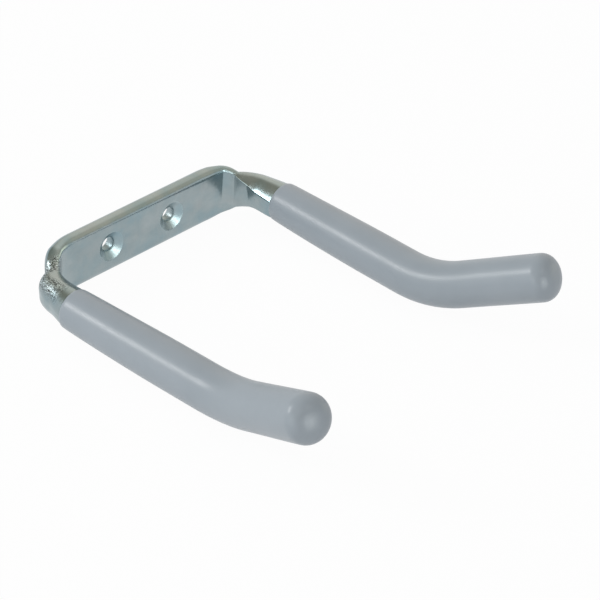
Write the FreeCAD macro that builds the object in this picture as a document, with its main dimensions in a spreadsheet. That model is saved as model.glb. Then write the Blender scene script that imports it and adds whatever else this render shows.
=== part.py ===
import FreeCAD, Part
import math
import os
import Sketcher

# Garage utility hook: one steel tube bent into a U, its middle pressed flat as the wall plate,
# with a soft closed coat on each arm. Millimetres, +Z up, +Y into the wall.
# The plate's back lies on Y = 0 and the origin is midway between the two screw holes.

doc = FreeCAD.newDocument("hook")

# Driving sizes
SIZES = [
    # tube and coat
    ("tube_radius", 8.0, "outside radius of the round tube"),
    ("wall", 1.5, "wall of the tube"),
    ("coat", 0.4, "thickness of the soft coat on an arm"),
    ("tip_round", 3.8, "radius round the coat's closed end"),
    ("cap", 4.4, "thickness of the coat over the tube's end"),
    ("lip_round", 0.25, "radius at the coat's start"),
    # pressed plate
    ("plate_thick", 5.8, "thickness of the pressed plate"),
    ("plate_half", 11.05, "half the height of the pressed plate"),
    ("plate_end_in", 21.95, "end of the plate's flat back, in from the arm's axis"),
    ("bend_start_in", 20.45, "where the plate starts to bend, in from the arm's axis"),
    ("screw_apart", 30.0, "spacing of the two screw holes"),
    ("screw_hole", 6.0, "diameter of a screw hole"),
    ("dish_wide", 11.5, "diameter of the dish round a screw hole"),
    ("dish_angle", 112.0, "full angle of the dish, degrees"),
    ("dish_wall", 1.0, "metal left round the dish inside the plate"),
    ("dish_round", 0.5, "soft edge of the dish"),
    # arm
    ("arms_apart", 103.9, "spacing of the arms' axes, where their coats start"),
    ("arm_y", 27.9, "where the coat starts, from the wall"),
    ("toe_angle", 1.33, "lean of the arms towards each other, degrees"),
    ("start_radius", 7.65, "outside radius of the tube where its coat starts"),
    ("seam", 0.06, "step from the pressed end to the round arm, hidden by the coat"),
    ("taper", 45.0, "length over which the tube grows to its full radius"),
    ("run", 74.5, "coat's start to the corner of the arm's bend"),
    ("tip", 46.4, "corner of the arm's bend to the tube's end"),
    ("bend_radius", 50.0, "radius of the arm's bend on its axis"),
    ("bend_angle", 28.4, "turn of the arm's bend, degrees"),
    ("bend_lean", 25.9, "outward lean of the bend's plane from upright, degrees"),
]

# Pressed sections of the right end, from the plate to the round tube. Each has the inner face's place
# (in from the arm's axis, and from the wall), the turn of the section, half the inner flat, half the
# height, half the outer flat, the place of the crown behind the inner face, and the thickness.
SECTIONS = {
    "ease": (16.45, 5.8, 3.0, 8.25, 10.9, 8.25, 2.65, 5.3),
    "fold": (11.35, 5.95, 11.0, 8.2, 9.95, 8.2, 1.8, 3.6),
    "corner": (8.25, 7.6, 45.0, 7.3, 8.5, 6.9, 1.45, 3.0),
    "crease": (7.05, 10.7, 62.0, 5.9, 7.35, 3.4, 2.1, 4.6),
    "swell": (6.55, 12.8, 76.0, 5.1, 7.2, 1.6, 3.9, 8.6),
    "open": (6.2, 15.6, 88.67, 4.4, 7.15, 1.4, 5.1, 10.6),
    "fuller": (6.65, 20.9, 88.67, 3.7, 7.2, 1.2, 6.0, 12.3),
    "nearly": (7.15, 26.5, 88.67, 2.6, 7.4, 1.0, 6.9, 14.0),
}
PARTS = ("in", "y", "turn", "flat", "crown", "back", "mid", "thick")
for key, row in SECTIONS.items():
    for part, value in zip(PARTS, row):
        SIZES.append((key + "_" + part, value, "section at the " + key))

sheet = doc.addObject("Spreadsheet::Sheet", "Sizes")
for i, (alias, value, note) in enumerate(SIZES, start=1):
    sheet.set("A%d" % i, alias)
    sheet.set("B%d" % i, str(value))
    sheet.set("C%d" % i, note)
    sheet.setAlias("B%d" % i, alias)
doc.recompute()


def size(alias):
    """A driving size, read from the sheet."""
    return float(sheet.get(alias))


def plane(body, role):
    """One of the body's own origin planes."""
    return [o for o in body.Origin.OriginFeatures if o.Role == role][0]


def sketch_on(body, name, role, offset=None):
    """A sketch on one of the body's origin planes, moved by an expression."""
    sk = body.newObject("Sketcher::SketchObject", name)
    sk.AttachmentSupport = [(plane(body, role), "")]
    sk.MapMode = "FlatFace"
    if offset:
        sk.setExpression("AttachmentOffset", offset)
    return sk


def bind(sk, kind, args, start, expression):
    """Adds one dimension and ties it to the sheet."""
    i = sk.addConstraint(Sketcher.Constraint(kind, *args, start))
    sk.setExpression("Constraints[%d]" % i, expression)
    return i


V = FreeCAD.Vector

# Places along the plate, from the middle
ARM_X = "(Sizes.arms_apart / 2)"
PLATE_END = "(Sizes.arms_apart / 2 - Sizes.plate_end_in)"
BEND_START = "(Sizes.arms_apart / 2 - Sizes.bend_start_in)"


def outline(sk, flat, crown, back, mid, thick, inset=None):
    """A pressed section: inner flat, two arcs over a crown to the outer flat, and the same below.

    Each value is an expression on the sheet. X of the sketch runs from the inner face outwards.
    """
    num = [float(sk.evalExpression(e)) for e in (flat, crown, back, mid, thick)]
    a, b, c, m, t = num
    left = float(sk.evalExpression(inset)) if inset else 0.0
    r1 = ((m - left) ** 2 + (b - a) ** 2) / (2 * (b - a))
    r2 = ((t - m) ** 2 + (b - c) ** 2) / (2 * (b - c))

    def arc(p, q, centre, radius):
        """Arc from p to q round the centre, the short way."""
        mp = (p + q) * 0.5 - centre
        mp.normalize()
        return Part.Arc(p, centre + mp * radius, q)

    p1, p2 = V(left, -a, 0), V(left, a, 0)
    p3, p4 = V(m, b, 0), V(t, c, 0)
    p5, p6 = V(t, -c, 0), V(m, -b, 0)
    g = [sk.addGeometry(Part.LineSegment(p1, p2), False),
         sk.addGeometry(arc(p2, p3, V(m, b - r1, 0), r1), False),
         sk.addGeometry(arc(p3, p4, V(m, b - r2, 0), r2), False),
         sk.addGeometry(Part.LineSegment(p4, p5), False),
         sk.addGeometry(arc(p5, p6, V(m, r2 - b, 0), r2), False),
         sk.addGeometry(arc(p6, p1, V(m, r1 - b, 0), r1), False)]

    def end(i, point):
        """Which end of piece i lies at the point."""
        return 1 if sk.getPoint(i, 1).distanceToPoint(point) < 1e-6 else 2

    for i, j, p in ((0, 1, p2), (1, 2, p3), (2, 3, p4), (3, 4, p5), (4, 5, p6), (5, 0, p1)):
        sk.addConstraint(Sketcher.Constraint("Coincident", g[i], end(g[i], p), g[j], end(g[j], p)))
    for i, p, x, y in ((0, p2, inset, flat), (2, p3, mid, crown), (3, p4, thick, back)):
        if x is None:
            sk.addConstraint(Sketcher.Constraint("PointOnObject", g[i], end(g[i], p), -2))
        else:
            bind(sk, "DistanceX", (-1, 1, g[i], end(g[i], p)), p.x, x)
        bind(sk, "DistanceY", (-1, 1, g[i], end(g[i], p)), p.y, y)
    for i, p, q in ((0, p1, p2), (3, p5, p4)):
        sk.addConstraint(Sketcher.Constraint("Symmetric", g[i], end(g[i], p), g[i], end(g[i], q), -1))
    sk.addConstraint(Sketcher.Constraint("Symmetric", g[4], end(g[4], p6), g[2], end(g[2], p3), -1))
    for i in (1, 2, 4, 5):
        bind(sk, "DistanceX", (-1, 1, g[i], 3), m, mid)


def upright(x, z, turn):
    """Placement of an upright sketch plane, moved in the plane's own axes and turned about the vertical."""
    return ("create(<<placement>>; create(<<vector>>; %s; 0; %s);"
            " create(<<rotation>>; create(<<vector>>; 0; 1; 0); %s))" % (x, z, turn))


def section(body, key, inset=None):
    """One pressed section of the right end, as a sketch, or the bore inside it, drawn in by the wall."""
    s = {p: "Sizes.%s_%s" % (key, p) for p in PARTS}
    at = upright("-" + s["y"], ARM_X + " - " + s["in"], "-" + s["turn"])
    sk = sketch_on(body, key + ("_bore" if inset else "_section"), "YZ_Plane", at)
    if inset:
        outline(sk, s["flat"] + " * 0.75", "%s - %s" % (s["crown"], inset), s["back"] + " * 0.75",
                s["mid"], "%s - %s" % (s["thick"], inset), inset)
    else:
        outline(sk, s["flat"], s["crown"], s["back"], s["mid"], s["thick"])
    return sk


def round_section(body, name, inset):
    """The tube's section where its coat starts: six edges as a pressed one, a hair inside the round arm."""
    sk = sketch_on(body, name, "YZ_Plane", upright("-Sizes.arm_y", ARM_X, "Sizes.toe_angle - 90"))
    out = "(Sizes.start_radius - Sizes.seam - %s)" % inset
    outline(sk, "0.04 * " + out, out, "0.04 * " + out, "0 * " + out, out, "-1 * " + out)
    return sk


def plate_section(body, name, shift, inset="0"):
    """The plate's stadium section, square to the plate, drawn in from the outside by the inset."""
    sk = sketch_on(body, name, "YZ_Plane", upright("-Sizes.plate_thick", shift, "0"))
    flat = "(Sizes.plate_half - Sizes.plate_thick / 2)"
    outline(sk, flat, "(Sizes.plate_half - %s)" % inset, flat, "Sizes.plate_thick / 2",
            "(Sizes.plate_thick - %s)" % inset, inset if inset != "0" else None)
    return sk


def ring(body, name, side, shift, radii):
    """Circles square to an arm's axis, a distance along it from where its coat starts."""
    toe = "(Sizes.toe_angle * 1 deg)"
    at = upright("-Sizes.arm_y - %s * cos%s" % (shift, toe),
                 "%d * (%s - %s * sin%s)" % (side, ARM_X, shift, toe),
                 "-%d * (90 - Sizes.toe_angle)" % side)
    sk = sketch_on(body, name, "YZ_Plane", at)
    for r in radii:
        c = sk.addGeometry(Part.Circle(V(0, 0, 0), V(0, 0, 1), float(sk.evalExpression(r))), False)
        sk.addConstraint(Sketcher.Constraint("Coincident", c, 3, -1, 1))
        bind(sk, "Radius", (c,), float(sk.evalExpression(r)), r)
    return sk


def arm_path(body, name, side, extra):
    """An arm's axis past its taper: the run, the bend and the tip, in the bend's own plane."""
    at = ("create(<<placement>>; create(<<vector>>; %d * %s; -Sizes.arm_y; 0);"
          " create(<<rotation>>; -90 - %d * Sizes.toe_angle; 0; 90 - %d * Sizes.bend_lean))"
          % (side, ARM_X, side, side))
    sk = sketch_on(body, name, "XY_Plane", at)
    turn = math.radians(size("bend_angle"))
    rad = size("bend_radius")
    cut = rad * math.tan(turn / 2)
    run = size("run")
    length = size("tip") + float(sk.evalExpression(extra)) - cut
    a, b = V(size("taper"), 0, 0), V(run - cut, 0, 0)
    c = V(run - cut, rad, 0)
    e = c + V(math.sin(turn), -math.cos(turn), 0) * rad
    mid = c + V(math.sin(turn / 2), -math.cos(turn / 2), 0) * rad
    f = e + V(math.cos(turn), math.sin(turn), 0) * length
    g0 = sk.addGeometry(Part.LineSegment(a, b), False)
    g1 = sk.addGeometry(Part.Arc(b, mid, e), False)
    g2 = sk.addGeometry(Part.LineSegment(e, f), False)
    sk.addConstraint(Sketcher.Constraint("PointOnObject", g0, 1, -1))
    sk.addConstraint(Sketcher.Constraint("Horizontal", g0))
    bind(sk, "DistanceX", (-1, 1, g0, 1), size("taper"), "Sizes.taper")
    sk.addConstraint(Sketcher.Constraint("Tangent", g0, 2, g1, 1))
    sk.addConstraint(Sketcher.Constraint("Tangent", g1, 2, g2, 1))
    corner = "Sizes.bend_radius * tan(Sizes.bend_angle / 2 * 1 deg)"
    bind(sk, "Distance", (g0,), run - cut - size("taper"), "Sizes.run - Sizes.taper - " + corner)
    bind(sk, "Radius", (g1,), rad, "Sizes.bend_radius")
    bind(sk, "Angle", (g2,), turn, "Sizes.bend_angle * 1 deg")
    bind(sk, "Distance", (g2,), length, "Sizes.tip + %s - %s" % (extra, corner))
    return sk


def feature(body, kind, name, **values):
    """A PartDesign feature with its properties set."""
    f = body.newObject("PartDesign::" + kind, name)
    for key, value in values.items():
        setattr(f, key, value)
    return f


def new_body(name):
    """A body whose label is its node's name."""
    body = doc.addObject("PartDesign::Body", name)
    body.Label = name
    return body


# The tube
tube = new_body("bent_tube")
plate = feature(tube, "Pad", "plate", Profile=plate_section(tube, "plate_profile", "0"), Midplane=True)
plate.setExpression("Length", "2 * " + PLATE_END)
doc.recompute()

# The corner, pressed thin round the bend, then the end that opens to the round tube
first = plate_section(tube, "plate_end_profile", PLATE_END)
corner = feature(tube, "AdditiveLoft", "corner", Profile=first,
                 Sections=[plate_section(tube, "bend_start_profile", BEND_START)]
                 + [section(tube, k) for k in ("ease", "fold", "corner", "crease")])
doc.recompute()

opening = feature(tube, "AdditiveLoft", "opening", Profile=section(tube, "crease"),
                  Sections=[section(tube, k) for k in ("swell", "open", "fuller", "nearly")]
                  + [round_section(tube, "round_section", "0")])
doc.recompute()

# The arm: it grows to its full radius, then runs on as a hollow round tube along its path
FULL, START, WALL, COAT = "Sizes.tube_radius", "Sizes.start_radius", "Sizes.wall", "Sizes.coat"
grow = feature(tube, "AdditiveLoft", "grow", Profile=ring(tube, "grow_start", 1, "0", [START]),
               Sections=[ring(tube, "grow_end", 1, "Sizes.taper", [FULL])])
doc.recompute()
arm = feature(tube, "AdditivePipe", "arm",
              Profile=ring(tube, "arm_profile", 1, "Sizes.taper", [FULL, FULL + " - " + WALL]))
arm.Spine = (arm_path(tube, "arm_path", 1, "0"), [])
doc.recompute()

# The bore closes to a slit as the tube goes flat
bore = feature(tube, "SubtractiveLoft", "bore", Profile=section(tube, "swell", WALL),
               Sections=[section(tube, k, WALL) for k in ("open", "fuller", "nearly")]
               + [round_section(tube, "bore_section", WALL)])
doc.recompute()
grow_bore = feature(tube, "SubtractiveLoft", "grow_bore",
                    Profile=ring(tube, "grow_bore_start", 1, "0", [START + " - " + WALL]),
                    Sections=[ring(tube, "grow_bore_end", 1, "Sizes.taper", [FULL + " - " + WALL])])
doc.recompute()

other = feature(tube, "Mirrored", "other_end", Originals=[corner, opening, grow, arm, bore, grow_bore])
other.MirrorPlane = (plane(tube, "YZ_Plane"), [""])
tube.Tip = other
doc.recompute()

# The plate's two walls stand apart, and are pressed together round each screw hole
slot = feature(tube, "Pocket", "slot", Midplane=True,
               Profile=plate_section(tube, "slot_profile", "0", "Sizes.wall"))
slot.setExpression("Length", "2 * (%s - Sizes.wall)" % PLATE_END)
doc.recompute()


def pair(name, depth, radius):
    """A sketch of one circle at each screw, square to the plate, at a depth from the wall."""
    sk = sketch_on(tube, name, "XZ_Plane", upright("0", depth, "0"))
    for side in (-1, 1):
        r = float(sk.evalExpression(radius))
        c = sk.addGeometry(Part.Circle(V(side * size("screw_apart") / 2, 0, 0), V(0, 0, 1), r), False)
        sk.addConstraint(Sketcher.Constraint("PointOnObject", c, 3, -1))
        bind(sk, "Radius", (c,), r, radius)
        if side > 0:
            bind(sk, "DistanceX", (-1, 1, c, 3), size("screw_apart") / 2, "Sizes.screw_apart / 2")
        else:
            bind(sk, "DistanceX", (c, 3, -1, 1), size("screw_apart") / 2, "Sizes.screw_apart / 2")
    return sk


boss = feature(tube, "Pad", "dish_metal",
               Profile=pair("dish_metal_profile", "Sizes.wall", "Sizes.dish_wide / 2 + Sizes.dish_wall"))
boss.setExpression("Length", "Sizes.plate_thick - 2 * Sizes.wall")
doc.recompute()
holes = feature(tube, "Hole", "screw_holes",
                Profile=pair("screw_profile", "Sizes.plate_thick", "Sizes.screw_hole / 2"))
doc.recompute()
holes.Threaded = False
holes.DepthType = "ThroughAll"
holes.HoleCutType = "Countersink"
holes.HoleCutCustomValues = True
holes.setExpression("Diameter", "Sizes.screw_hole")
holes.setExpression("HoleCutDiameter", "Sizes.dish_wide")
holes.setExpression("HoleCutCountersinkAngle", "Sizes.dish_angle * 1 deg")
doc.recompute()


def circles(shape, test):
    """Names of the shape's round edges that pass a test on their curve."""
    return ["Edge%d" % (i + 1) for i, e in enumerate(shape.Edges)
            if isinstance(e.Curve, Part.Circle) and test(e.Curve)]


lips = circles(holes.Shape, lambda c: abs(c.Radius - size("dish_wide") / 2) < 1e-3)
dish_lip = feature(tube, "Fillet", "dish_lip", Base=(holes, lips))
dish_lip.setExpression("Radius", "Sizes.dish_round")
tube.Tip = dish_lip
doc.recompute()

# The soft coats
BODIES = [tube]
for side, name in ((-1, "left_sleeve"), (1, "right_sleeve")):
    body = new_body(name)
    cone = feature(body, "AdditiveLoft", name + "_cone",
                   Profile=ring(body, name + "_cone_start", side, "0", [START + " + " + COAT]),
                   Sections=[ring(body, name + "_cone_end", side, "Sizes.taper", [FULL + " + " + COAT])])
    doc.recompute()
    skin = feature(body, "AdditivePipe", name + "_skin",
                   Profile=ring(body, name + "_skin_start", side, "Sizes.taper", [FULL + " + " + COAT]))
    skin.Spine = (arm_path(body, name + "_path", side, "Sizes.cap"), [])
    doc.recompute()
    hollow = feature(body, "SubtractiveLoft", name + "_hollow",
                     Profile=ring(body, name + "_hollow_start", side, "0", [START]),
                     Sections=[ring(body, name + "_hollow_end", side, "Sizes.taper", [FULL])])
    doc.recompute()
    inside = feature(body, "SubtractivePipe", name + "_bore",
                     Profile=ring(body, name + "_bore_start", side, "Sizes.taper", [FULL]))
    inside.Spine = (arm_path(body, name + "_bore_path", side, "0"), [])
    doc.recompute()
    outer = size("tube_radius") + size("coat")
    end = sorted(circles(inside.Shape, lambda c: abs(c.Radius - outer) < 1e-3),
                 key=lambda n: inside.Shape.getElement(n).Curve.Center.y)[0]
    closed = feature(body, "Fillet", name + "_tip", Base=(inside, [end]))
    closed.setExpression("Radius", "Sizes.tip_round")
    doc.recompute()
    first_ring = size("start_radius") + size("coat")
    start = circles(closed.Shape, lambda c: abs(c.Radius - first_ring) < 1e-3)
    lip = feature(body, "Fillet", name + "_lip", Base=(closed, start))
    lip.setExpression("Radius", "Sizes.lip_round")
    body.Tip = lip
    doc.recompute()
    BODIES.append(body)

# Checks, then the files
for o in doc.Objects:
    if "Invalid" in o.State or "Error" in o.State:
        raise RuntimeError("not built: " + o.Name)
os.makedirs("parts", exist_ok=True)
for body in BODIES:
    shape = body.Shape
    if shape.isNull() or not shape.isValid() or len(shape.Solids) != 1:
        raise RuntimeError("bad shape: " + body.Label)
    print(body.Label, "volume %.1f" % shape.Volume, "box", shape.BoundBox)
    shape.exportStep("parts/%s.step" % body.Label)
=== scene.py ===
import math

import bpy
import numpy as np
from mathutils import Matrix, Vector


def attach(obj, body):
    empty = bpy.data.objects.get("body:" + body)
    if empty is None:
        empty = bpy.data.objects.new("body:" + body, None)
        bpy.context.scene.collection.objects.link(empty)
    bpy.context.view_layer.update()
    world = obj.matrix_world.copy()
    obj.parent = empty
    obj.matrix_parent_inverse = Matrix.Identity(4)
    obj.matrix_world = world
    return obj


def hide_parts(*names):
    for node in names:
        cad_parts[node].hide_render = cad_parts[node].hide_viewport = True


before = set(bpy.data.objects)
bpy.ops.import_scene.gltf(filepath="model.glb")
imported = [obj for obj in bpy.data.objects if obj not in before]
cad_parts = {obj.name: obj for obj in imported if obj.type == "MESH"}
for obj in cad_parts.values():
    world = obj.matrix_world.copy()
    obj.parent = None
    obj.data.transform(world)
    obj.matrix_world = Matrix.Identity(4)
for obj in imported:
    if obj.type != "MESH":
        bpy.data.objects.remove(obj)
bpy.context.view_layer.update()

# All shapes below are worked out in millimetres and stored in metres.
MM = 0.001

# Tube: its radius, the slimmer radius at the start of the coat, and the length and power of the taper
TUBE_R = 8.0
START_R = 7.25
TAPER = 45.0
TAPER_POWER = 1.5

# Coat: its thickness, how far it stays inside the CAD's coat, its cap over the tube's end, and at the tip
# how much fatter it is, the length of its rounding and the power of that rounding's curve
COAT = 0.4
COAT_SHY = 0.02
CAP = 5.1
TIP_SWELL = 0.17
TIP_LONG = 6.0
TIP_POWER = 2.3
COAT_AROUND = 96

# Coat's lip: where it starts along the arm, its inner radius, the length of its rounding, how much slimmer
# the coat is there, and the length over which that fades
LIP = -1.2
LIP_R = 6.6
LIP_LONG = 0.35
LIP_DIP = 0.12
LIP_FADE = 2.0

# Plate, with the half width of the square windows that its screw holes are let into
PLATE_T = 5.8
PLATE_END = 30.0
WINDOW = 7.0

# Screw holes and their dishes: the dish's edge is rounded from outside its radius to inside it
SCREW_X = 15.0
SCREW_R = 3.0
DISH_R = 5.75
DISH_ANGLE = math.radians(112)
EDGE_OUT = 0.35
EDGE_IN = 0.15
EDGE_DEPTH = 0.16

# Arm path: start of the coat, toe-in, run, bend and tip, the lean of the bend's plane, and how far the
# start is lifted and the length over which that fades
ARM_X = 51.95
ARM_Y = 27.9
TOE = math.radians(1.33)
RUN = 74.5
TIP = 46.4
BEND_R = 50.0
BEND = math.radians(28.4)
LEAN = math.radians(25.9)
LIFT = 0.3
LIFT_FADE = 30.0

BEND_CUT = BEND_R * math.tan(BEND / 2)
TURN_START = RUN - BEND_CUT
TURN_END = TURN_START + BEND_R * BEND
ARM_LENGTH = TURN_END + TIP - BEND_CUT

# Pressed sections of one end: the inner face's place from the middle and from the wall, the turn of the
# section in degrees, half the inner flat, half the height, half the outer flat, how far the crown lies
# behind the inner face, the thickness, and in degrees how far the slope above the inner flat leans back
# and how far the whole section is rolled, top inwards.
SECTIONS = {
    "plate": (30.0, 5.8, 0.0, 8.15, 11.05, 8.15, 2.9, 5.8, 0.0, 0.0),
    "bend_start": (31.5, 5.8, 0.0, 8.15, 11.05, 8.15, 2.9, 5.8, 0.0, 0.0),
    "ease": (35.5, 5.8, 3.0, 8.4, 11.0, 8.3, 2.65, 5.3, 3.0, 0.0),
    "fold": (40.6, 5.95, 11.0, 8.55, 10.3, 8.3, 1.8, 3.6, 8.0, 0.0),
    "corner": (43.6, 7.5, 44.0, 7.85, 9.05, 7.0, 1.45, 3.0, 20.0, 0.0),
    "crease": (44.6, 9.75, 58.0, 6.4, 7.45, 3.6, 2.0, 4.3, 38.0, 0.0),
    "swell": (45.35, 12.5, 76.0, 5.2, 7.1, 1.6, 3.9, 8.4, 42.0, 1.5),
    "open": (45.75, 15.4, 88.67, 4.25, 7.0, 1.4, 5.2, 10.4, 45.0, 4.0),
    "fuller": (45.5, 18.8, 88.67, 3.6, 7.05, 1.1, 5.8, 11.6, 46.0, 5.0),
    "nearly": (44.9, 26.6, 88.67, 3.2, 7.25, 0.7, 6.7, 13.7, 46.0, 5.0),
    "round": (44.65, 27.72, 88.67, 0.3, 7.25, 0.3, 7.25, 14.5, 2.0, 5.0),
}
# The left corner is pressed less: its rim stays thick up to the crease, which lies nearer to the coat.
LEFT_SECTIONS = dict(
    SECTIONS,
    ease=(35.0, 5.9, 4.0, 8.15, 10.95, 8.15, 2.8, 5.7, 3.0, 0.0),
    fold=(39.7, 7.3, 16.0, 7.9, 10.5, 7.9, 2.4, 5.9, 5.0, 0.0),
    corner=(42.0, 8.6, 44.0, 6.9, 9.2, 6.4, 1.9, 5.5, 8.0, 0.0),
    crease=(44.5, 11.1, 59.0, 5.5, 7.2, 3.6, 1.5, 5.0, 20.0, 0.0),
    swell=(45.4, 13.3, 74.0, 5.0, 7.1, 1.8, 4.1, 9.0, 36.0, -3.0),
    open=(45.75, 15.9, 86.0, 4.4, 7.0, 1.2, 5.1, 10.2, 40.0, -5.0),
    fuller=(45.5, 19.5, 88.67, 3.6, 6.9, 0.9, 5.6, 11.3, 40.0, -6.0),
    nearly=(44.9, 26.6, 88.67, 3.0, 7.15, 0.7, 6.7, 13.9, 40.0, -5.0),
)
# Fold lines that the press leaves on the inner face of the right corner, from the middle and from the
# wall, and how far each is rounded to either side. The left corner has none.
FOLDS = ((41.25, 6.1), (44.2, 8.43), (45.85, 14.4))
LEFT_FOLDS = ()
FOLD_ROUND = 0.55

# Grid of the steel: the gaps before the first ring of a pressed end and of an arm, the steps over the plate
# outside its windows, over a window, over an arc of a section and over a pressed end, extra stations beside
# a fold line, and the least step between stations
END_GAP = 0.2
ARM_GAP = 0.3
PLATE_STEPS = 6
WINDOW_STEPS = 20
ARC_STEPS = 16
END_STEPS = 150
FOLD_STATIONS = np.array([-0.6, -0.25, -0.08, 0.0, 0.08, 0.25, 0.6])
LEAST_STEP = 0.03

# Shares of a flat's half height where its lines of points lie, close together at its edges
EDGE_SHARES = [0.93, 0.985, 1]
INNER_SHARE = WINDOW / SECTIONS["plate"][3]
FLAT = np.concatenate([np.negative(EDGE_SHARES[::-1]),
                       np.linspace(-INNER_SHARE, INNER_SHARE, WINDOW_STEPS + 1), EDGE_SHARES])
AROUND = 2 * (len(FLAT) - 1) + 4 * ARC_STEPS

# How far the inner flat's fold lines carry into the arcs round it, from 1 on the flat to 0 at the crown
ARC_FADE = np.cos(np.arange(ARC_STEPS) / ARC_STEPS * math.pi / 2) ** 2
FOLD_SHARE = np.concatenate([np.ones(len(FLAT) - 1), ARC_FADE,
                             np.zeros(AROUND - len(FLAT) + 1 - 2 * ARC_STEPS), 1 - ARC_FADE])


def path_through(x, y, t):
    """The smooth curve through rows y at x, read at t: cubic pieces whose bend runs on across the rows
    and is zero at both ends."""
    h = np.diff(x)
    slope = np.diff(y, axis=0) / h[:, None]
    n = len(x)
    system = np.eye(n)
    k = np.arange(1, n - 1)
    system[k, k - 1], system[k, k], system[k, k + 1] = h[:-1], 2 * (h[:-1] + h[1:]), h[1:]
    wanted = np.zeros_like(y)
    wanted[1:-1] = 6 * np.diff(slope, axis=0)
    bend = np.linalg.solve(system, wanted)
    k = np.clip(np.searchsorted(x, t, side="right") - 1, 0, n - 2)
    d, left, right = h[k][:, None], (t - x[k])[:, None], (x[k + 1] - t)[:, None]
    return (bend[k] * right**3 / (6 * d) + bend[k + 1] * left**3 / (6 * d)
            + (y[k] / d - bend[k] * d / 6) * right + (y[k + 1] / d - bend[k + 1] * d / 6) * left)


def sizes_through(x, y, t):
    """The curve through rows y at x, read at t, that never passes beyond two neighbouring rows: cubic
    pieces whose slope at a row is the harmonic mean of the slopes beside it, or zero at a turn."""
    h = np.diff(x)[:, None]
    slope = np.diff(y, axis=0) / h
    both = slope[:-1] * slope[1:]
    inner = np.where(both > 0, 2 * both / np.where(both > 0, slope[:-1] + slope[1:], 1), 0)
    m = np.vstack([slope[:1], inner, slope[-1:]])
    k = np.clip(np.searchsorted(x, t, side="right") - 1, 0, len(x) - 2)
    w = ((t - x[k]) / h[k, 0])[:, None]
    return (y[k] * (1 + 2 * w) * (1 - w) ** 2 + h[k] * m[k] * w * (1 - w) ** 2
            + y[k + 1] * w**2 * (3 - 2 * w) + h[k] * m[k + 1] * w**2 * (w - 1))


def spread(first, *stops):
    """Stations from the first value through several (end, steps) stops, evenly spaced up to each end."""
    parts = [np.array([first], float)]
    for end, steps in stops:
        parts.append(np.linspace(parts[-1][-1], end, steps + 1)[1:])
    return np.concatenate(parts)


def rising(value, start, way):
    """0 up to the start, rising evenly to 1 over the way that follows."""
    return np.clip((value - start) / way, 0, 1)


def slimmer(s):
    """How much slimmer the arm is at length s: a power of the share of the taper still to come."""
    return (TUBE_R - START_R) * np.maximum(1 - s / TAPER, 0) ** TAPER_POWER


def arc_between(mid, crown, thick, back, count):
    """Points from the crown to the outer flat's edge on a quarter ellipse, by equal angles, without the
    last."""
    angle = np.arange(count) / count * math.pi / 2
    return (mid[:, None] + (thick - mid)[:, None] * np.sin(angle),
            back[:, None] + (crown - back)[:, None] * np.cos(angle))


def slope_between(p, q, lean, count):
    """Points from p, the flat's edge, to q, the crown, on a cubic curve without its last point.

    It starts along the slope, which leans back from upright, though never past most of the way to the
    crown, and ends level. Its handles reach as far towards the corner of the two as they do for a quarter
    circle."""
    handle, most = 0.5523, 0.9
    corner = p[0] + np.minimum((q[1] - p[1]) * np.tan(lean), most * (q[0] - p[0])), q[1]
    w = np.arange(count) / count
    places = []
    for start, turn, end in zip(p, corner, q):
        p0, c, p3 = start[:, None], turn[:, None], end[:, None]
        p1, p2 = p0 + handle * (c - p0), p3 + handle * (c - p3)
        places.append(p0 * (1 - w)**3 + 3 * p1 * w * (1 - w)**2 + 3 * p2 * w**2 * (1 - w) + p3 * w**3)
    return places


def outlines(rows):
    """Closed outlines of pressed sections, as places outwards from the inner face and up.

    Each is the inner flat going up, a slope to the crown, an arc down to the outer flat, the outer flat
    going down, and the same arc and slope below, all rolled about the section's middle."""
    flat, crown, back, mid, thick = rows.T[:5]
    lean, roll = np.radians(rows.T[5:])
    zero = np.zeros_like(flat)
    a1 = slope_between((zero, flat), (mid, crown), lean, ARC_STEPS)
    a2 = arc_between(mid, crown, thick, back, ARC_STEPS)
    up = FLAT[:-1]
    # the lower curves are the upper ones' mirror images, read the other way
    a3 = [np.hstack([q[:, None], a2[k][:, :0:-1]]) for k, q in ((0, thick), (1, back))]
    a4 = [np.hstack([q[:, None], a1[k][:, :0:-1]]) for k, q in ((0, mid), (1, crown))]
    out = np.hstack([zero[:, None] + 0 * up, a1[0], a2[0], thick[:, None] + 0 * up, a3[0], a4[0]])
    high = np.hstack([flat[:, None] * up, a1[1], a2[1], -back[:, None] * up, -a3[1], -a4[1]])
    c, s, half = np.cos(roll)[:, None], np.sin(roll)[:, None], thick[:, None] / 2
    return half + (out - half) * c - high * s, high * c + (out - half) * s


def arm_axis(side, s):
    """Points and directions along an arm's axis at lengths s from the start of its coat.

    Straight along the run, then round an arc of the bend's radius, then straight to the tip. The bend
    turns up and out in a plane that leans out from upright."""
    along = np.array([-side * math.sin(TOE), -math.cos(TOE), 0.0])
    level = np.array([side * math.cos(TOE), -math.sin(TOE), 0.0])
    up = math.sin(LEAN) * level + math.cos(LEAN) * np.array([0.0, 0.0, 1.0])
    turn = rising(s, TURN_START, TURN_END - TURN_START) * BEND
    before = np.minimum(s, TURN_START)
    after = np.maximum(s - TURN_END, 0)
    forward = before + BEND_R * np.sin(turn) + after * np.cos(turn)
    rise = BEND_R * (1 - np.cos(turn)) + after * np.sin(turn)
    start = np.array([side * ARM_X, -ARM_Y, 0.0])
    points = start + forward[:, None] * along + rise[:, None] * up
    points[:, 2] += LIFT * np.clip(1 - s / LIFT_FADE, 0, 1) ** 2
    ahead = np.cos(turn)[:, None] * along + np.sin(turn)[:, None] * up
    return points, ahead


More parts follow.
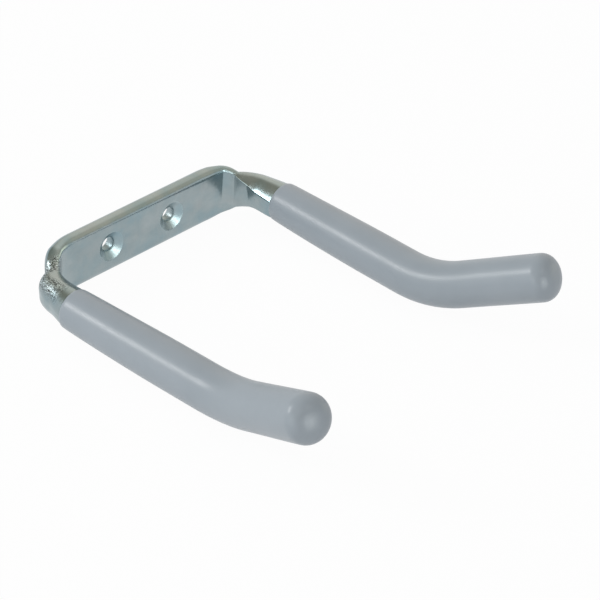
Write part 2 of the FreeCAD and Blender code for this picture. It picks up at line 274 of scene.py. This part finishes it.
def arm_rings(side, s, radius, angle):
    """Circles square to an arm's axis at lengths s, each with its radius, and with points at the angles
    from outwards to upwards."""
    centre, ahead = arm_axis(side, s)
    away = np.array([float(side), 0.0, 0.0])
    out = away - (ahead @ away)[:, None] * ahead
    out /= np.linalg.norm(out, axis=1)[:, None]
    up = np.cross(out, ahead)
    ring = np.cos(angle)[:, None] * out[:, None] + np.sin(angle)[:, None] * up[:, None]
    return centre[:, None] + radius[:, None, None] * ring


def plate_rings(sections):
    """Rings of half the plate, from its middle outwards: its one section at each station."""
    x = spread(0.0, (SCREW_X - WINDOW, PLATE_STEPS), (SCREW_X + WINDOW, WINDOW_STEPS),
               (PLATE_END - END_GAP, PLATE_STEPS))
    out, high = outlines(np.repeat([sections["plate"][3:]], len(x), axis=0))
    return np.stack([x[:, None] + 0 * out, out - PLATE_T, high], axis=-1)


def end_rings(sections, fold_lines):
    """Rings of one pressed end: sections read from curves through the section table, with a break at the
    crease where the press stops. The inner flats follow straight facets between the fold lines, each
    place being a mean over a short way along the path, which rounds the folds a little."""
    table = np.array(list(sections.values()))
    s = np.concatenate([[0], np.cumsum(np.hypot(*np.diff(table[:, :2], axis=0).T))])
    stop = list(sections).index("crease")
    # where each fold line lies along the table's own path
    fine = np.linspace(s[0], s[-1], 2000)
    path = path_through(s, table[:, :2], fine)
    folds = [fine[np.argmin(np.hypot(path[:, 0] - x, path[:, 1] - y))] for x, y in fold_lines]
    beside = [line + FOLD_STATIONS for line in folds + [s[stop]]]
    t = np.unique(np.concatenate([np.linspace(s[0], s[-1], END_STEPS)] + beside))
    t = t[np.concatenate([[True], np.diff(t) > LEAST_STEP])]
    place = path_through(s, table[:, :3], t)
    shape = np.where((t <= s[stop])[:, None],
                     sizes_through(s[:stop + 1], table[:stop + 1, 3:], np.minimum(t, s[stop])),
                     sizes_through(s[stop:], table[stop:, 3:], np.maximum(t, s[stop])))
    out, high = outlines(shape)
    turn = np.radians(place[:, 2:])
    raised = high + LIFT * rising(t, s[stop], s[-1] - s[stop])[:, None]
    rings = np.stack([place[:, :1] + out * np.sin(turn), out * np.cos(turn) - place[:, 1:2], raised], axis=-1)
    if fold_lines:
        corner_s = np.concatenate([[s[1]], folds, s[-2:]])
        corner = np.vstack([table[1:2, :2], fold_lines, table[-2:, :2]])
        near = t[:, None] + np.linspace(-FOLD_ROUND, FOLD_ROUND, 11)
        facet = np.stack([np.interp(near, corner_s, corner[:, k]).mean(axis=1) for k in (0, 1)], axis=-1)
        shift = np.where((t > s[1])[:, None], facet - place[:, :2], 0) * np.array([1.0, -1.0])
        rings[:, :, :2] += shift[:, None] * FOLD_SHARE[None, :, None]
    return rings


def bare_arm_rings(sections):
    """Rings of the steel arm under the coat: circles with their points at the round section's angles."""
    s = spread(ARM_GAP, (TAPER, 16), (TURN_START, 8), (TURN_END, 24), (ARM_LENGTH, 12))
    out, high = outlines(np.array([sections["round"][3:]]))
    half_thick = sections["round"][7] / 2
    return arm_rings(1, s, TUBE_R - slimmer(s), np.arctan2(high[0], out[0] - half_thick))


def steel_rings(sections, fold_lines):
    """Rings of one half of the steel, from the middle of the plate to the arm's end."""
    return np.concatenate([plate_rings(sections), end_rings(sections, fold_lines), bare_arm_rings(sections)])


def dish_rings(side, front):
    """Rings of points from inside the front window's edge through a dished screw hole to the back.

    Each ring keeps the angle of its point on the window. The radius runs from the window to the dish's
    rounded edge, down the cone to the hole, through the plate and out again on its back."""
    cx = side * SCREW_X
    angle = np.arctan2(front[:, 2], front[:, 0] - cx)
    reach = np.hypot(front[:, 2], front[:, 0] - cx)
    rim_r = DISH_R + EDGE_OUT
    depth = (DISH_R - SCREW_R) / math.tan(DISH_ANGLE / 2)
    w = np.linspace(0, 1, 7)
    edge = np.stack([rim_r - EDGE_OUT * w - EDGE_IN * w**2, EDGE_DEPTH * w**2], axis=-1)
    cone = edge[-1] + (np.array([SCREW_R, depth]) - edge[-1]) * np.linspace(0, 1, 9)[1:, None]
    # the bore is a little slimmer than the cone's end and opens softly at the back
    bore = [(SCREW_R - 0.14, depth + 0.16), (SCREW_R - 0.2, depth + 0.5), (SCREW_R - 0.2, PLATE_T - 0.9),
            (SCREW_R - 0.03, PLATE_T - 0.3), (SCREW_R + 0.1, PLATE_T - 0.06), (SCREW_R + 0.3, PLATE_T)]
    profile_r, profile_d = np.vstack([edge, cone, bore]).T
    inwards, outwards = np.array([[0.3], [0.6], [0.85]]), np.array([[0.25], [0.6]])
    radius = np.vstack([reach + (rim_r - reach) * inwards, profile_r[:, None] + 0 * reach,
                        profile_r[-1] + (reach - profile_r[-1]) * outwards])
    deep = np.concatenate([0 * inwards[:, 0], profile_d, 0 * outwards[:, 0] + PLATE_T])[:, None]
    return np.stack([cx + radius * np.cos(angle), deep - PLATE_T + 0 * angle, radius * np.sin(angle)],
                    axis=-1)


def ring_quads(index):
    """Quads between neighbouring closed rows of an index grid."""
    following = np.roll(index, -1, axis=1)
    return np.stack([index[:-1], following[:-1], following[1:], index[1:]], axis=-1)


def window_edge(index, u0, u1, v0, v1):
    """Indices round the edge of a window of an index grid: along v0, across at u1, back along v1 and
    across at u0."""
    step = 1 if v0 < v1 else -1
    return np.concatenate([index[u0:u1, v0], index[u1, v0:v1:step],
                           index[u1:u0:-1, v1], index[u0, v1:v0:-step]])


def facing(points, quads):
    """1 where a shell's quads face outwards and -1 where they have to be turned round.

    That is the sign of its volume: the sum over triangles of the first corner's place times the cross
    product of the other two."""
    a, b, c = points[np.concatenate([quads[:, :3], quads[:, [0, 2, 3]]])].transpose(1, 0, 2)
    return -1 if np.einsum("ij,ij->", a, np.cross(b, c)) < 0 else 1


def placed(name, data):
    """A new object in the scene that shows the data."""
    obj = bpy.data.objects.new(name, data)
    bpy.context.scene.collection.objects.link(obj)
    return obj


def mesh_piece(name, points, faces, material):
    """A smooth mesh object at the origin from points in millimetres and a list of face index rows."""
    mesh = bpy.data.meshes.new(name)
    mesh.from_pydata((points * MM).tolist(), [], faces)
    mesh.validate()
    mesh.polygons.foreach_set("use_smooth", [True] * len(mesh.polygons))
    mesh.update()
    mesh.materials.append(material)
    return placed(name, mesh)


def press_marks(points):
    """How rough the press left each point: 1 on the rim and flank of the left corner, less on the right.

    Each bound is a place in millimetres and the way over which the roughness sets in or fades."""
    x, y, z = points.T
    beside = rising(np.abs(x), 41.0, 2.5) * rising(-y, 6.5, 1.5) * rising(y, -24.0, 3.0)
    rim = rising(y, -12.5, 1.0) * rising(z, 2.0, 3.0)
    flank = rising(np.abs(x), 50.4, 1.5) * rising(z, 2.5, 2.0)
    return beside * np.maximum(rim, flank) * np.where(x < 0, 1.0, 0.12)


def dish_haze(points):
    """How hazy each point of a dish is: 1 inside the dish's edge, fading over it, and 1.4 in the bore."""
    from_hole = np.hypot(np.abs(points[:, 0]) - SCREW_X, points[:, 2])
    return np.where(from_hole < SCREW_R + 0.05, 1.4, np.clip((DISH_R + 0.2 - from_hole) / 0.3, 0, 1))


def steel_piece(material):
    """The whole steel tube: the right half's rings and the left half's, mirrored, as one grid, the two
    screw holes let into windows of the plate, and a flat end in each coat."""
    right = steel_rings(SECTIONS, FOLDS)
    left = steel_rings(LEFT_SECTIONS, LEFT_FOLDS)[:0:-1] * np.array([-1.0, 1.0, 1.0])
    middle = len(left)
    index = np.arange((middle + len(right)) * AROUND).reshape(-1, AROUND)
    points = np.concatenate([left, right]).reshape(-1, 3)
    keep = np.ones((len(index) - 1, AROUND), bool)
    low = len(EDGE_SHARES)
    high = low + WINDOW_STEPS
    outer = len(FLAT) - 1 + 2 * ARC_STEPS
    strips = []
    for side in (-1, 1):
        u0, u1 = sorted(middle + side * steps for steps in (PLATE_STEPS, PLATE_STEPS + WINDOW_STEPS))
        keep[u0:u1, low:high] = False
        keep[u0:u1, outer + low:outer + high] = False
        front = window_edge(index, u0, u1, low, high)
        # the outer flat runs down where the inner one runs up, so its edge is read the other way round
        back = window_edge(index, u0, u1, outer + high, outer + low)
        rings = dish_rings(side, points[front])
        numbers = len(points) + np.arange(rings.size // 3).reshape(rings.shape[:2])
        points = np.concatenate([points, rings.reshape(-1, 3)])
        # the dish strips run the other way from the skin
        strips.append(ring_quads(np.vstack([front, numbers, back])).reshape(-1, 4)[:, ::-1])
    quads = np.concatenate(strips + [ring_quads(index)[keep]])
    way = facing(points, quads)
    ends = [index[0, ::way].tolist(), index[-1, ::-way].tolist()]
    piece = mesh_piece("steel_tube", points, quads[:, ::way].tolist() + ends, material)
    hazy = dish_haze(points)
    hazy[:index.size] = 0.0
    for name, values in (("worked", press_marks(points)), ("hazy", hazy)):
        piece.data.attributes.new(name, "FLOAT", "POINT").data.foreach_set("value", values)
    return piece


def coat_piece(name, side, material):
    """One soft coat: circles along the arm's axis outside the steel, a soft lip at the start, a closed end
    rounded as a superellipse, and the same inside against the steel."""
    end = ARM_LENGTH + CAP
    body = spread(LIP + LIP_LONG, (TAPER, 40), (TURN_START, 16), (TURN_END, 40), (end - TIP_LONG, 26))
    swell = rising(body, TURN_END, end - TIP_LONG - TURN_END)
    body_r = (TUBE_R + COAT - COAT_SHY - slimmer(body) - LIP_DIP * np.exp((LIP - body) / LIP_FADE)
              + TIP_SWELL * swell**2 * (3 - 2 * swell))
    q = np.linspace(0, 1, 33)[1:-1] * math.pi / 2
    tip = end - TIP_LONG + TIP_LONG * np.sin(q) ** (2 / TIP_POWER)
    tip_r = body_r[-1] * np.cos(q) ** (2 / TIP_POWER)
    # the inside's first ring is the lip's own first ring too
    q = np.linspace(1, 0, 6)[1:-1] * math.pi / 2
    lip = LIP + LIP_LONG * (1 - np.sin(q))
    lip_r = body_r[0] - (body_r[0] - LIP_R) * (1 - np.cos(q))
    inner = spread(LIP, (0.0, 1), (TAPER, 10), (TURN_START, 5), (TURN_END, 16), (ARM_LENGTH, 8))
    inner_r = LIP_R + (TUBE_R - LIP_R) * np.clip(inner / TAPER, 0, 1)
    s = np.concatenate([inner[::-1], lip, body, tip])
    radius = np.concatenate([inner_r[::-1], lip_r, body_r, tip_r])
    rings = arm_rings(side, s, radius, np.arange(COAT_AROUND) / COAT_AROUND * 2 * math.pi)
    pole, _ = arm_axis(side, np.array([end]))
    points = np.vstack([rings.reshape(-1, 3), pole])
    index = np.arange(len(points) - 1).reshape(-1, COAT_AROUND)
    quads = ring_quads(index).reshape(-1, 4)
    way = facing(points, quads)
    fan = np.stack([index[-1], np.roll(index[-1], -1), np.full(COAT_AROUND, len(points) - 1)], axis=-1)
    faces = quads[:, ::way].tolist() + fan[:, ::way].tolist() + [index[0, ::-way].tolist()]
    return mesh_piece(name, points, faces, material)


class Nodes:
    """A material's node tree with short calls to add and join nodes."""

    def __init__(self, name):
        self.material = bpy.data.materials.new(name)
        self.material.use_nodes = True
        self.tree = self.material.node_tree
        self.shader = self.tree.nodes["Principled BSDF"]

    def add(self, kind, inputs=None, **values):
        """A new node with its settings and inputs."""
        node = self.tree.nodes.new("ShaderNode" + kind)
        for key, value in values.items():
            setattr(node, key, value)
        for key, value in (inputs or {}).items():
            self.set(node, key, value)
        return node

    def set(self, node, key, value):
        """Joins a socket to an input, or sets the input's own value."""
        socket = node.inputs[key]
        if isinstance(value, bpy.types.NodeSocket):
            self.tree.links.new(value, socket)
        else:
            socket.default_value = value

    def math(self, operation, a, b):
        return self.add("Math", {0: a, 1: b}, operation=operation).outputs[0]

    def mix(self, share, a, b, blend="MIX"):
        """Colour a changed by colour b as far as the share says."""
        return self.add("Mix", {0: share, 6: a, 7: b}, data_type="RGBA", blend_type=blend).outputs[2]

    def object_place(self, scale=(1, 1, 1)):
        """Object coordinates, in metres, with a scale for each axis."""
        place = self.add("TexCoord").outputs["Object"]
        return self.add("Mapping", {"Vector": place, "Scale": scale}).outputs[0]

    def noise(self, place, scale, detail, rough):
        inputs = {"Vector": place, "Scale": scale, "Detail": detail, "Roughness": rough}
        return self.add("TexNoise", inputs).outputs[0]

    def between(self, noise, low, high):
        """A noise's usual reach, 0.3 to 0.7, spread from low to high."""
        return self.add("MapRange", {0: noise, 1: 0.3, 2: 0.7, 3: low, 4: high}).outputs[0]

    def attribute(self, name):
        return self.add("Attribute", attribute_name=name).outputs["Fac"]

    def bump(self, height, strength, distance, under=None):
        """A bumped normal, laid over another one where that is given."""
        inputs = {"Height": height, "Strength": strength, "Distance": distance}
        if under is not None:
            inputs["Normal"] = under
        return self.add("Bump", inputs).outputs[0]

    def ramp(self, value, *stops):
        """Colours by value, from (place, colour) stops."""
        node = self.add("ValToRGB", {0: value})
        band = node.color_ramp
        band.elements[0].position, band.elements[0].color = stops[0]
        band.elements[1].position, band.elements[1].color = stops[-1]
        for at, colour in stops[1:-1]:
            band.elements.new(at).color = colour
        return node.outputs[0]


def grey(v):
    return (v, v, v, 1.0)


def zinc_finish():
    """Bright zinc plate over drawn steel: a cool grey metal mottled by clouds of tint and soft bands, with
    faint upright draw lines, paler dishes, and a speckled skin where the press worked it."""
    n = Nodes("zinc_plate")
    place = n.object_place()
    streak = n.noise(n.object_place((900, 900, 14)), 1.0, 4.0, 0.6)
    band = n.noise(n.object_place((110, 240, 240)), 1.0, 3.0, 0.55)
    cloud = n.noise(place, 95.0, 3.0, 0.55)
    grain = n.noise(place, 1400.0, 3.0, 0.6)
    speck = n.noise(place, 2400.0, 2.0, 0.6)
    pit = n.noise(place, 2700.0, 1.0, 0.5)
    worked = n.attribute("worked")
    hazy = n.attribute("hazy")
    tint = n.ramp(cloud, (0.32, (0.250, 0.336, 0.368, 1)), (0.50, (0.291, 0.355, 0.372, 1)),
                  (0.68, (0.330, 0.378, 0.389, 1)))
    shade = n.math("ADD", n.between(streak, 0.485, 0.505), n.between(band, 0.45, 0.535))
    pits = n.ramp(pit, (0.40, grey(0.1)), (0.48, grey(0.45)), (0.60, grey(1.9)))
    colour = n.mix(1.0, tint, shade, "MULTIPLY")
    colour = n.mix(hazy, colour, (1.1, 1.14, 1.16, 1), "MULTIPLY")
    colour = n.mix(worked, colour, pits, "MULTIPLY")
    n.set(n.shader, "Base Color", colour)
    n.set(n.shader, "Metallic", 1.0)
    dull = n.math("ADD", n.math("MULTIPLY", hazy, 0.16), n.math("MULTIPLY", worked, 0.16))
    n.set(n.shader, "Roughness", n.math("ADD", n.between(grain, 0.17, 0.27), dull))
    drawn = n.bump(streak, 0.03, 0.0002)
    n.set(n.shader, "Normal", n.bump(n.math("MULTIPLY", speck, worked), 0.5, 0.00016, drawn))
    return n.material


def coat_finish():
    """Dipped soft vinyl: satin blue grey with faint clouds and a very fine skin."""
    n = Nodes("grey_coat")
    place = n.object_place()
    cloud = n.noise(place, 40.0, 4.0, 0.6)
    wave = n.noise(place, 160.0, 2.0, 0.5)
    speck = n.noise(place, 900.0, 2.0, 0.5)
    colour = n.ramp(cloud, (0.3, (0.294, 0.338, 0.375, 1)), (0.7, (0.323, 0.367, 0.405, 1)))
    n.set(n.shader, "Base Color", colour)
    n.set(n.shader, "Roughness", n.between(speck, 0.30, 0.38))
    n.set(n.shader, "Specular IOR Level", 0.45)
    n.set(n.shader, "Normal", n.bump(speck, 0.04, 0.0001, n.bump(wave, 0.08, 0.0004)))
    return n.material


def floor_finish():
    """Pale matt floor: white to the camera and in the metal, with a small share of its own shading, so that
    the object's soft shadow stays."""
    n = Nodes("floor_paint")
    n.set(n.shader, "Base Color", grey(0.84))
    n.set(n.shader, "Roughness", 0.9)
    n.set(n.shader, "Specular IOR Level", 0.0)
    ray = n.add("LightPath").outputs
    seen = n.math("MAXIMUM", ray["Is Camera Ray"], ray["Is Transmission Ray"])
    share = n.math("MULTIPLY", n.math("MAXIMUM", seen, ray["Is Glossy Ray"]), 0.96)
    white = n.add("Emission", {"Color": grey(1.0), "Strength": 1.0})
    mix = n.add("MixShader", {0: share, 1: n.shader.outputs[0], 2: white.outputs[0]})
    n.set(n.tree.nodes["Material Output"], 0, mix.outputs[0])
    return n.material


# Steel and coats
zinc = zinc_finish()
vinyl = coat_finish()

steel = steel_piece(zinc)
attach(steel, "root")
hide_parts("bent_tube")

for side, node, name in ((-1, "left_sleeve", "left_coat"), (1, "right_sleeve", "right_coat")):
    coat = coat_piece(name, side, vinyl)
    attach(coat, "root")
    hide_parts(node)

# Floor, just under the plate's lower edge, in metres
FLOOR_Z = -0.0112
FLOOR_HALF = 3.0
floor_corners = [(x * FLOOR_HALF, y * FLOOR_HALF, FLOOR_Z) for x, y in ((-1, -1), (1, -1), (1, 1), (-1, 1))]
floor_mesh = bpy.data.meshes.new("floor")
floor_mesh.from_pydata(floor_corners, [], [(0, 1, 2, 3)])
floor_mesh.materials.append(floor_finish())
floor = placed("floor", floor_mesh)


def towards(azimuth, elevation):
    """Direction from the object: azimuth 0 is straight out from the wall and 90 is to the right."""
    a, e = math.radians(azimuth), math.radians(elevation)
    return (math.sin(a) * math.cos(e), -math.cos(a) * math.cos(e), math.sin(e))


class Sky(Nodes):
    """The world's node tree, with the same short calls."""

    def __init__(self, name):
        self.material = bpy.data.worlds.new(name)
        self.material.use_nodes = True
        self.tree = self.material.node_tree
        self.tree.nodes.clear()
        self.ray = self.add("TexCoord").outputs["Generated"]

    def glow(self, under, azimuth, elevation, inner, outer, colour):
        """A round patch of colour laid over what is under it, full within the inner angle and gone at the
        outer."""
        dot = self.add("VectorMath", {0: self.ray, 1: towards(azimuth, elevation)}, operation="DOT_PRODUCT")
        bounds = {1: math.cos(math.radians(outer)), 2: math.cos(math.radians(inner))}
        share = self.add("MapRange", {0: dot.outputs["Value"], **bounds}, interpolation_type="SMOOTHSTEP")
        return self.mix(share.outputs[0], under, colour)

    def background(self, colour):
        return self.add("Background", {0: colour, 1: 1.0}).outputs[0]


def studio():
    """The world: white to the camera, an even studio to matt surfaces, and to glossy ones a white backdrop
    with the dimmer room above it and lit patches."""
    sky = Sky("studio")
    height = sky.add("SeparateXYZ", {0: sky.ray}).outputs[2]
    walls = sky.ramp(height, (0.18, grey(1.0)), (0.42, (0.37, 0.34, 0.26, 1)), (1.0, (0.56, 0.51, 0.415, 1)))
    for patch in ((115, 38, 15, 50, (1.21, 1.10, 0.96, 1)),
                  (42, 42, 4, 28, (0.90, 0.82, 0.68, 1)),
                  (-88, 14, 8, 24, (2.5, 2.5, 2.4, 1)),
                  (0, 10, 7, 22, (6.3, 6.3, 6.0, 1)),
                  (66, 4, 7, 19, (1.95, 1.83, 1.44, 1))):
        walls = sky.glow(walls, *patch)
    even = sky.ramp(height, (0.0, grey(0.78)), (1.0, grey(0.51)))
    for patch in ((55, 10, 25, 80, grey(0.34)), (-70, 20, 25, 85, grey(0.92))):
        even = sky.glow(even, *patch)
    ray = sky.add("LightPath").outputs
    matt, gloss, white = sky.background(even), sky.background(walls), sky.background(grey(1.0))
    lit = sky.add("MixShader", {0: ray["Is Glossy Ray"], 1: matt, 2: gloss})
    seen = sky.math("MAXIMUM", ray["Is Camera Ray"], ray["Is Transmission Ray"])
    shown = sky.add("MixShader", {0: seen, 1: lit.outputs[0], 2: white})
    sky.add("OutputWorld", {0: shown.outputs[0]})
    return sky.material


bpy.context.scene.world = studio()

# Lamps: soft boxes that face the object's middle from a distance in metres, each with its direction, its
# width and height, and its brightness as seen
CENTRE = Vector((0.0, -0.07, 0.0))
LAMP_FAR = 1.2
for name, azimuth, elevation, wide, tall, glow in (("key_box", -136, 32, 0.32, 0.27, 15.5),
                                                   ("tip_box", 10, 46, 0.16, 0.16, 6.0),
                                                   ("front_box", -46, 46, 0.14, 0.14, 4.0)):
    lamp = bpy.data.lights.new(name, "AREA")
    lamp.shape = "RECTANGLE"
    lamp.size, lamp.size_y = wide, tall
    lamp.energy = glow * wide * tall * math.pi
    way = Vector(towards(azimuth, elevation))
    box = placed(name, lamp)
    box.location = CENTRE + way * LAMP_FAR
    box.rotation_euler = way.to_track_quat("Z", "Y").to_euler()

# Camera: fitted to the photograph's view, in metres and degrees
CAM_PLACE = Vector((-0.521467, -0.554811, 0.479912))
CAM_AZIMUTH = -47.965
CAM_ELEVATION = 33.868
CAM_ROLL = math.radians(2.782)
back = Vector(towards(CAM_AZIMUTH, CAM_ELEVATION))
level = Vector((0, 0, 1)).cross(back).normalized()
rise = back.cross(level)
right = math.cos(CAM_ROLL) * level + math.sin(CAM_ROLL) * rise
top = math.cos(CAM_ROLL) * rise - math.sin(CAM_ROLL) * level
camera = placed("camera", bpy.data.cameras.new("camera"))
camera.data.sensor_width = 36.0
camera.data.lens = 147.54
camera.data.clip_start = 0.01
camera.matrix_world = Matrix.Translation(CAM_PLACE) @ Matrix((right, top, back)).transposed().to_4x4()
bpy.context.scene.camera = camera
bpy.context.scene.view_settings.view_transform = "Standard"
